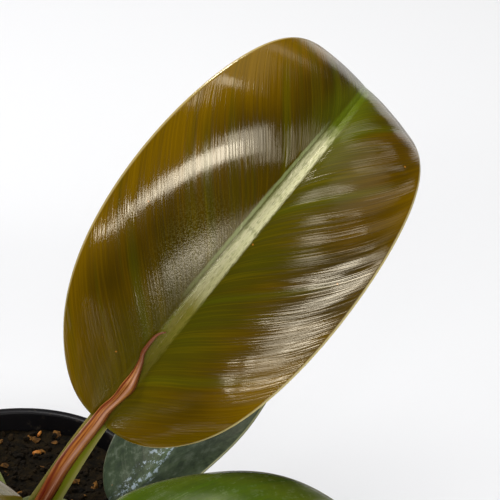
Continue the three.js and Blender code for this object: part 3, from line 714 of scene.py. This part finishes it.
def root_distance(leaf):
    """How far from the stem's axis a stalk's root stands."""
    c, _, s, n = stalk_frames(leaf, STEM["radius"] * ROOT_GUESS, STALK_SOLID_ROWS)[0]
    outward = direction(leaf["stalk"]["angle"], 0)
    half, depth = stalk_size(leaf, 0)
    reach = 0
    for k in range(-leaf["columns"], leaf["columns"] + 1):
        x = k / leaf["columns"]
        top = c + s * (x * half) + n * (leaf["stalk"]["channel"] * x * x)
        bottom = top - n * (BLADE_THICKNESS + depth * (1 - x * x) ** 0.7)
        reach = max(reach, (c - top).dot(outward), (c - bottom).dot(outward))
    return STEM["radius"] + CLEARANCE + reach


def outline(q, shape):
    """Half-width of a blade at a share of its length, 1 where it is widest."""
    a, b = shape
    peak = a / (a + b)
    tall = peak ** a * (1 - peak) ** b
    return q ** a * (1 - q) ** b * (1 - TIP_NARROWING * q ** 24) / tall


def vein_place(leaf, q, x_mm, w):
    """Where on the midrib, in mm, the vein through a point starts."""
    length = leaf["length"]
    base_slope = 1 / math.tan(radians(VEIN_ANGLE_BASE))
    tip_slope = 1 / math.tan(radians(VEIN_ANGLE_TIP))
    width = max(leaf["half_widths"])
    run = x_mm + VEIN_START * width * (1 - math.exp(-x_mm / (VEIN_REACH * width)))
    run += VEIN_TURN * w * (x_mm / w) ** 5 / 5
    spread = VEIN_SPREAD * length
    held = 1 - base_slope / tip_slope
    level = held + (math.exp(q * length / spread) - held) * math.exp(-tip_slope * run / spread)
    return spread * math.log(max(level, 0.02))


def main_vein(leaf, vein, side):
    """Distance in mm from a vein to the nearest main one."""
    return min(abs(vein - share * leaf["length"]) for share in MAIN_VEINS[side])


def blade_point(leaf, frame, q, m, left):
    """Upper point of the blade, the way down through it and the place's measures."""
    c, _, s, n = frame
    side = 0 if left else 1
    stalk = leaf["stalk"]
    half = lerp(stalk["neck_half"], TIP_RIB_HALF, q ** 0.6)
    depth = lerp(stalk["neck_depth"], TIP_RIB_DEPTH, q ** 0.55)
    fade = max(0, 1 - q / NECK_FADE)
    lobe = leaf["half_widths"][side] * outline(q, leaf["shape"][side])
    w = math.hypot(lobe, max(TIP_HALF_WIDTH, stalk["neck_half"] * fade))
    inner = min(1.1 * half / w, 1 / leaf["columns"] + 0.25)
    if m <= RIB_COLUMNS:
        bent = m / RIB_COLUMNS * inner
    else:
        bent = inner + (1 - inner) * (m - RIB_COLUMNS) / (1 - RIB_COLUMNS)
    x = lerp(m, bent, smoothstep(0, 0.05, q))
    across = x * w
    in_rib = min(1, across / half)
    rise = leaf["rise"][side]
    rise += leaf["lift"][side] * smoothstep(0, LIFT_REACH, q) * (1 - smoothstep(LIFT_FADE, 1, q))
    height = w * (rise * x - leaf["droop"] * x ** DROOP_POWER) * (1 - leaf["flatten"] * q ** 5)
    turn = 2 * math.pi * leaf["waves"][side] * q + radians(leaf["phase"][side])
    height += leaf["wave"][side] * x * x * math.sin(turn) * min(1, q * 12)
    height += stalk["channel"] * fade ** 2 * in_rib ** 2
    vein = vein_place(leaf, q, across, w)
    main = main_vein(leaf, vein, side)
    calm = smoothstep(0.02, 0.1, q) * (1 - smoothstep(0.85, 0.97, q))
    calm *= smoothstep(0.04, 0.25, x) * (1 - smoothstep(0.86, 1, x))
    ripple = noise.noise(Vector((vein / RIPPLE_LENGTH, across / RIPPLE_REACH, side * 9)))
    relief = leaf["ripple"][side] * ripple
    relief -= GROOVE_DEPTH * math.exp(-((main / GROOVE_WIDTH) ** 2))
    swell = leaf["swell"][side] * (0.2 + 0.8 * smoothstep(0.42, 0.62, q))
    swell *= 1 - 0.6 * smoothstep(0.74, 0.86, q)
    relief -= swell * math.cos(2 * math.pi * main / (SWELL_SHARE * leaf["length"]))
    relief *= calm
    pale_half = lerp(*PALE_RIB_HALF, q)
    rib_edge = math.exp(-(((across - pale_half) / RIB_GROOVE_WIDTH) ** 2))
    relief -= RIB_GROOVE_DEPTH * rib_edge * smoothstep(0.1, 0.3, q) * (1 - smoothstep(0.85, 0.97, q))
    top = c + s * (across if left else -across) + n * (height + relief)
    thickness = lerp(BLADE_THICKNESS, MARGIN_THICKNESS, smoothstep(0.8, 1, x))
    thickness += relief * UNDERSIDE_RELIEF
    down = n * (thickness + depth * (1 - in_rib ** 2) ** 0.7)
    measures = {"across": x if left else -x, "along": q, "vein": vein, "lateral": across,
                "rib": across / pale_half, "main": main}
    return top, down, measures


def stalk_point(leaf, frame, p, x):
    """Upper point of the stalk, the way down through it and the place's measures."""
    c, t, s, n = frame
    half, depth = stalk_size(leaf, max(0, p))
    if p < 0:
        c = c + t * (p * 30)
        half *= 1 + p
    top = c + s * (x * half) + n * (leaf["stalk"]["channel"] * x * x)
    down = n * (BLADE_THICKNESS + depth * (1 - x * x) ** 0.7)
    along = (p - 1) * 0.25
    measures = {"across": x, "along": along, "vein": along * leaf["length"], "lateral": x * half,
                "rib": abs(x) * 2, "main": FAR_FROM_MAIN}
    return top, down, measures


def leaf_piece(name, leaf, material):
    """Stalk and blade as one skin: a grid laid over the stalk and the blade, given its underside."""
    stalk_rows, blade_rows, columns = leaf["grid"]
    stalk = stalk_frames(leaf, root_distance(leaf), stalk_rows)
    blade = blade_frames(leaf)
    rows = [("stalk", -0.2, stalk[0]), ("stalk", -0.1, stalk[0])]
    rows += [("stalk", i / stalk_rows, stalk[i]) for i in range(stalk_rows)]
    for i in range(blade_rows + 1):
        q = smoothstep(0, 1, i / blade_rows)
        rows.append(("blade", q, frame_at(blade, q)))
    mesh = bmesh.new()
    bmesh.ops.create_grid(mesh, x_segments=2 * columns, y_segments=len(rows) - 1, size=1)
    layers = {key: mesh.verts.layers.float.new(key)
              for key in ("across", "along", "vein", "lateral", "rib", "main", "underside")}
    downs = mesh.verts.layers.float_vector.new("down")
    for vert in mesh.verts:
        kind, place, frame = rows[round((vert.co.y + 1) / 2 * (len(rows) - 1))]
        column = -round(vert.co.x * columns)
        if kind == "stalk":
            top, down, measures = stalk_point(leaf, frame, place, column / columns)
        else:
            top, down, measures = blade_point(leaf, frame, place, abs(column) / columns, column > 0)
        vert.co = top
        vert[downs] = down
        for key, value in measures.items():
            vert[layers[key]] = value
    lower = bmesh.ops.extrude_face_region(mesh, geom=mesh.faces[:])
    for vert in lower["geom"]:
        if isinstance(vert, bmesh.types.BMVert):
            vert.co = vert.co - vert[downs]
            vert[layers["underside"]] = 1.0
    mesh.verts.layers.float_vector.remove(downs)
    bmesh.ops.recalc_face_normals(mesh, faces=mesh.faces[:])
    finished(name, mesh, material, (name,))


def between(stops, share):
    """Values on a smooth line through the stops, at a share of the way."""
    place = clamp(share) * (len(stops) - 1)
    i = min(int(place), len(stops) - 2)
    f = place - i
    a, b, c, d = (stops[min(max(i + k, 0), len(stops) - 1)] for k in (-1, 0, 1, 2))
    return [0.5 * (2 * b[k] + (c[k] - a[k]) * f + (2 * a[k] - 5 * b[k] + 4 * c[k] - d[k]) * f * f
                   + (3 * b[k] - a[k] - 3 * c[k] + d[k]) * f ** 3) for k in range(len(b))]


def spear_piece(leaf, material):
    """The rolled new leaf: a grid rolled into a tube whose outer margin laps over the inner."""
    stalk = stalk_frames(leaf, root_distance(leaf), MARCH_STEPS)
    blade = blade_frames(leaf)
    reach = (stalk[0][0] - stalk[-1][0]).length
    mesh = bmesh.new()
    bmesh.ops.create_grid(mesh, x_segments=SPEAR_SIDES, y_segments=SPEAR_RINGS, size=1)
    turns = mesh.verts.layers.float.new("turn")
    alongs = mesh.verts.layers.float.new("along")
    for vert in mesh.verts:
        share = (vert.co.y + 1) / 2
        turn = (vert.co.x + 1) / 2
        along, radius, lift, drift = between(SPEAR_STOPS, share)
        if along < 0:
            c, t, s, n = stalk[round(clamp(1 + along / reach) * MARCH_STEPS)]
        else:
            c, t, s, n = frame_at(blade, along / leaf["length"])
        middle = c + n * (radius + lift) + s * drift
        fold = math.exp(-(((turn - 0.3) / 0.06) ** 2)) * math.exp(-(((along - 17) / 9) ** 2))
        flare = math.exp(-(((along - 19) / 5) ** 2))
        lap = 0.1 * (turn - 0.5) * smoothstep(40, 20, along) * 2
        across = radius * (1 + lap - 0.35 * fold + 0.25 * flare * math.cos(2 * math.pi * turn) ** 2)
        angle = 2 * math.pi * turn - 0.5
        vert.co = middle + s * (-across * math.cos(angle)) + n * (across * math.sin(angle))
        vert[turns] = turn
        vert[alongs] = along
    bmesh.ops.remove_doubles(mesh, verts=mesh.verts[:], dist=0.0001)
    bmesh.ops.holes_fill(mesh, edges=[edge for edge in mesh.edges if edge.is_boundary], sides=0)
    bmesh.ops.recalc_face_normals(mesh, faces=mesh.faces[:])
    finished("new_leaf_spear_roll", mesh, material, ("new_leaf_spear",))


def turned_profile(mesh, profile, steps):
    """A profile of radii and heights turned into a surface about the upright axis."""
    verts = [mesh.verts.new((radius, 0, height)) for radius, height in profile]
    edges = [mesh.edges.new(pair) for pair in zip(verts, verts[1:])]
    bmesh.ops.spin(mesh, geom=verts + edges, cent=(0, 0, 0), axis=(0, 0, 1), dvec=(0, 0, 0),
                   angle=2 * math.pi, steps=steps, use_merge=True, use_normal_flip=False)
    bmesh.ops.remove_doubles(mesh, verts=mesh.verts[:], dist=0.001)


def inner_radius(z):
    """Radius of the pot's inside at a height."""
    wall_top = POT_HEIGHT - LIP_HEIGHT
    return lerp(BASE_RADIUS, WALL_TOP_RADIUS, clamp(z / wall_top)) - WALL_THICKNESS


def pot_piece(material):
    """The pot's turned wall and lip, with a floor that has round drain holes."""
    lip_bottom = POT_HEIGHT - LIP_HEIGHT
    lip_inner = LIP_RADIUS - LIP_WIDTH
    wall = []
    for i in range(POT_WALL_RINGS + 1):
        z = lerp(2.4, lip_bottom - 0.6, i / POT_WALL_RINGS)
        r = lerp(BASE_RADIUS, WALL_TOP_RADIUS, z / lip_bottom)
        step = WALL_STEP_DEPTH * smoothstep(*WALL_STEP_HEIGHT, z)
        wall.append((r - WALL_STEP_DEPTH + step, z))
    profile = [(BASE_RADIUS - 3.2, 0), (BASE_RADIUS - 1.4, 0), (BASE_RADIUS - 0.6, 0.5),
               (BASE_RADIUS - 0.25, 1.3)]
    profile += wall
    profile += [(WALL_TOP_RADIUS + 0.1, lip_bottom), (WALL_TOP_RADIUS + 1.6, lip_bottom + 0.1),
                (LIP_RADIUS - 0.7, lip_bottom + 0.35), (LIP_RADIUS - 0.15, lip_bottom + 0.8),
                (LIP_RADIUS, lip_bottom + 1.5), (LIP_RADIUS, lip_bottom + 4),
                (LIP_RADIUS, POT_HEIGHT - 3), (LIP_RADIUS, POT_HEIGHT - 1.3),
                (LIP_RADIUS - 0.18, POT_HEIGHT - 0.62), (LIP_RADIUS - 0.62, POT_HEIGHT - 0.18),
                (LIP_RADIUS - 1.3, POT_HEIGHT), (lip_inner + 1.3, POT_HEIGHT),
                (lip_inner + 0.62, POT_HEIGHT - 0.18), (lip_inner + 0.18, POT_HEIGHT - 0.62),
                (lip_inner, POT_HEIGHT - 1.3)]
    for i in range(POT_LINING_RINGS + 1):
        z = lerp(lip_bottom, FLOOR_THICKNESS + 0.8, i / POT_LINING_RINGS)
        profile.append((inner_radius(z), z))
    profile.append((inner_radius(FLOOR_THICKNESS) - 0.8, FLOOR_THICKNESS))
    mesh = bmesh.new()
    turned_profile(mesh, profile, POT_SEGMENTS)
    rims = [edge for edge in mesh.edges if edge.is_boundary]
    for level in (0, FLOOR_THICKNESS):
        holes = []
        for i in range(DRAIN_HOLES):
            a = 2 * math.pi * (i + 0.5) / DRAIN_HOLES
            ring = bmesh.ops.create_circle(mesh, cap_ends=False, radius=DRAIN_HOLE_RADIUS,
                                           segments=DRAIN_HOLE_SIDES)
            place = (DRAIN_HOLE_CIRCLE * math.cos(a), DRAIN_HOLE_CIRCLE * math.sin(a), level)
            bmesh.ops.translate(mesh, verts=ring["verts"], vec=place)
            holes += {edge for vert in ring["verts"] for edge in vert.link_edges}
        outer = [edge for edge in rims if abs(edge.verts[0].co.z - level) < 0.01]
        bmesh.ops.triangle_fill(mesh, use_beauty=True, use_dissolve=False, edges=outer + holes)
    loose = [edge for edge in mesh.edges if edge.is_boundary]
    for i in range(DRAIN_HOLES):
        a = 2 * math.pi * (i + 0.5) / DRAIN_HOLES
        middle = Vector((DRAIN_HOLE_CIRCLE * math.cos(a), DRAIN_HOLE_CIRCLE * math.sin(a)))
        pair = [edge for edge in loose
                if (edge.verts[0].co.xy - middle).length < DRAIN_HOLE_RADIUS + 0.5]
        bmesh.ops.bridge_loops(mesh, edges=pair)
    bmesh.ops.recalc_face_normals(mesh, faces=mesh.faces[:])
    finished("nursery_pot", mesh, material, ("pot",))


def soil_height(x, y):
    """The soil's coarse unevenness, as in the solid, with clods on it."""
    coarse = 0.49 * math.sin(x * 0.21 + 1.3) * math.cos(y * 0.17 - 0.4)
    coarse += 0.21 * math.sin(x * 0.47 - y * 0.39 + 2.1)
    clods = noise.fractal(Vector((x * 0.16, y * 0.16, 4)), 1.0, 2.0, 4)
    fine = noise.fractal(Vector((x * 0.6, y * 0.6, 9)), 1.0, 2.0, 3)
    return SOIL_LEVEL + coarse + 1.3 * clods + 0.5 * fine


def soil_piece(material):
    """The soil's body, with clods on its top."""
    bottom = FLOOR_THICKNESS + CLEARANCE
    profile = [(0, bottom), (20, bottom), (inner_radius(bottom) - CLEARANCE, bottom)]
    profile += [(inner_radius(z) - CLEARANCE, z) for z in (30, 60, 85, 95)]
    edge = inner_radius(SOIL_LEVEL) - CLEARANCE
    profile += [(edge * (1 - i / SOIL_RINGS), SOIL_LEVEL) for i in range(SOIL_RINGS + 1)]
    mesh = bmesh.new()
    turned_profile(mesh, profile, POT_SEGMENTS)
    for vert in mesh.verts:
        if vert.co.z > SOIL_LEVEL - 1:
            vert.co.z = soil_height(vert.co.x, vert.co.y)
    bmesh.ops.recalc_face_normals(mesh, faces=mesh.faces[:])
    finished("soil_surface", mesh, material, ("soil",))


def scattered(name, count, seed, sizes, flatness, sink, faces, jitter, material):
    """Small bits strewn over the soil, each sunk into it."""
    draw = random.Random(seed)
    mesh = bmesh.new()
    while count:
        a = draw.uniform(0, 2 * math.pi)
        r = (inner_radius(SOIL_LEVEL) - SOIL_MARGIN) * math.sqrt(draw.random())
        x, y = r * math.cos(a), r * math.sin(a)
        if math.hypot(x - STEM["x"], y - STEM["y"]) < STEM["radius"] + 1:
            continue
        count -= 1
        size = draw.uniform(*sizes)
        made = bmesh.ops.create_icosphere(mesh, subdivisions=faces, radius=1)
        shape = Matrix.Diagonal((size * draw.uniform(0.8, 1.6), size * draw.uniform(0.6, 1),
                                 size * draw.uniform(*flatness), 1))
        for vert in made["verts"]:
            vert.co *= 1 + draw.uniform(-jitter, jitter)
        tilt = (Matrix.Rotation(draw.uniform(-0.6, 0.6), 4, "X")
                @ Matrix.Rotation(draw.uniform(-0.6, 0.6), 4, "Y"))
        spin = Matrix.Rotation(draw.uniform(0, 2 * math.pi), 4, "Z")
        lift = Matrix.Translation((x, y, soil_height(x, y) + size * sink))
        bmesh.ops.transform(mesh, matrix=lift @ spin @ tilt @ shape, verts=made["verts"])
    finished(name, mesh, material, (), faces > 1)


def stem_piece(material):
    """The stump, ringed by leaf scars, with its foot in the soil."""
    profile = [(0, STEM["foot"]), (STEM["radius"] * 0.9, STEM["foot"])]
    for i in range(24):
        z = lerp(STEM["foot"], STEM["shoulder"], i / 23)
        scar = SCAR_HEIGHT * math.exp(-(((z % SCAR_PITCH) - 2.2) / 0.5) ** 2)
        profile.append((STEM["radius"] - 0.3 + scar, z))
    for i in range(1, 13):
        a = math.pi / 2 * i / 12
        profile.append(((STEM["radius"] - 0.3) * math.cos(a),
                        STEM["shoulder"] + (STEM["top"] - STEM["shoulder"]) * math.sin(a)))
    mesh = bmesh.new()
    turned_profile(mesh, profile, STEM_SEGMENTS)
    for vert in mesh.verts:
        x, y, z = vert.co
        bulge = 1 + STEM_BULGE * noise.noise(Vector((x * 0.3, y * 0.3, z * 0.3)))
        vert.co = Vector((x * bulge + STEM["x"], y * bulge + STEM["y"], z))
    bmesh.ops.recalc_face_normals(mesh, faces=mesh.faces[:])
    finished("stem_stump", mesh, material, ("stem",))


def softbox(name, azimuth, elevation, wide, high, radiance, lean):
    """A rectangular lamp that faces the point that the lamps stand round."""
    middle = Vector(LAMP_AIM)
    width = 2 * LAMP_DISTANCE * math.tan(radians(wide / 2))
    height = 2 * LAMP_DISTANCE * math.tan(radians(high / 2))
    light = bpy.data.lights.new(name, "AREA")
    light.shape = "RECTANGLE"
    light.size = width
    light.size_y = height
    light.energy = radiance * math.pi * width * height
    lamp = bpy.data.objects.new(name, light)
    lamp.location = middle + direction(azimuth, elevation) * LAMP_DISTANCE
    facing = (middle - lamp.location).to_track_quat("-Z", "Y").to_matrix()
    lamp.rotation_euler = (facing @ Matrix.Rotation(radians(lean), 3, "Z")).to_euler()
    bpy.context.scene.collection.objects.link(lamp)


def studio():
    """A pale floor that runs on far behind the plant, the lamps, the air and the photograph's camera."""
    mesh = bmesh.new()
    bmesh.ops.create_grid(mesh, x_segments=16, y_segments=16, size=FLOOR_HALF)
    bmesh.ops.translate(mesh, verts=mesh.verts[:], vec=(0, FLOOR_SHIFT, 0))
    data = bpy.data.meshes.new("pale_floor")
    mesh.to_mesh(data)
    mesh.free()
    floor = bpy.data.objects.new("pale_floor", data)
    floor.location = (0, 0, -FLOOR_DROP)
    bpy.context.scene.collection.objects.link(floor)
    finish = Finish("pale_paper", {"Roughness": 0.9})
    cloud = finish.grain(finish.place(), 1.5, 1.0, 0.5)
    tone = finish.mix(cloud, (0.8, 0.8, 0.82, 1), (0.85, 0.85, 0.85, 1))
    data.materials.append(finish.wear(base_color=tone))

    for name, lamp in LAMPS.items():
        softbox(name, *lamp)

    world = bpy.data.worlds.new("studio_air")
    world.use_nodes = True
    nodes = world.node_tree.nodes
    links = world.node_tree.links
    air = nodes["Background"]
    air.inputs["Color"].default_value = (1, 1, 1, 1)
    air.inputs["Strength"].default_value = AIR_GLOW
    seen = nodes.new("ShaderNodeBackground")
    seen.inputs["Color"].default_value = AIR_SEEN
    path = nodes.new("ShaderNodeLightPath")
    choose = nodes.new("ShaderNodeMixShader")
    links.new(path.outputs["Is Camera Ray"], choose.inputs[0])
    links.new(air.outputs[0], choose.inputs[1])
    links.new(seen.outputs[0], choose.inputs[2])
    links.new(choose.outputs[0], nodes["World Output"].inputs[0])
    bpy.context.scene.world = world
    bpy.context.scene.view_settings.view_transform = "Standard"

    lens = bpy.data.cameras.new("photo_view")
    lens.lens = CAMERA_LENS
    lens.sensor_width = CAMERA_SENSOR
    lens.clip_start = 0.01
    camera = bpy.data.objects.new("photo_view", lens)
    camera.location = Vector(CAMERA_PLACE) * MM
    camera.rotation_euler = (radians(CAMERA_TILT), 0, 0)
    bpy.context.scene.collection.objects.link(camera)
    bpy.context.scene.camera = camera


studio()
leaf_surfaces = {kind: leaf_finish(kind) for kind in LEAF_KINDS}
for leaf_name, leaf in LEAVES.items():
    kind = leaf["finish"]
    leaf_piece(leaf_name, leaf, leaf_surfaces[kind])
spear_piece(LEAVES["leaf_1_youngest"], spear_finish())
pot_piece(pot_finish())
soil_piece(soil_finish())
stem_piece(stem_finish())
scattered("soil_crumbs", 900, 3, (0.5, 1.7), (0.6, 1.0), 0.25, 1, 0.22,
          bit_finish("peat_crumbs", (8, 6, 3), (38, 27, 10), 0.9))
scattered("bark_bits", 110, 5, (0.8, 2.8), (0.2, 0.4), 0.25, 1, 0.3,
          bit_finish("bark_chips", (52, 34, 14), (136, 92, 38), 0.8))
scattered("fertiliser_beads", 16, 8, (1.2, 1.6), (0.9, 1.0), 0.4, 2, 0.02,
          bit_finish("bead_coating", (150, 84, 30), (200, 138, 66), 0.35))
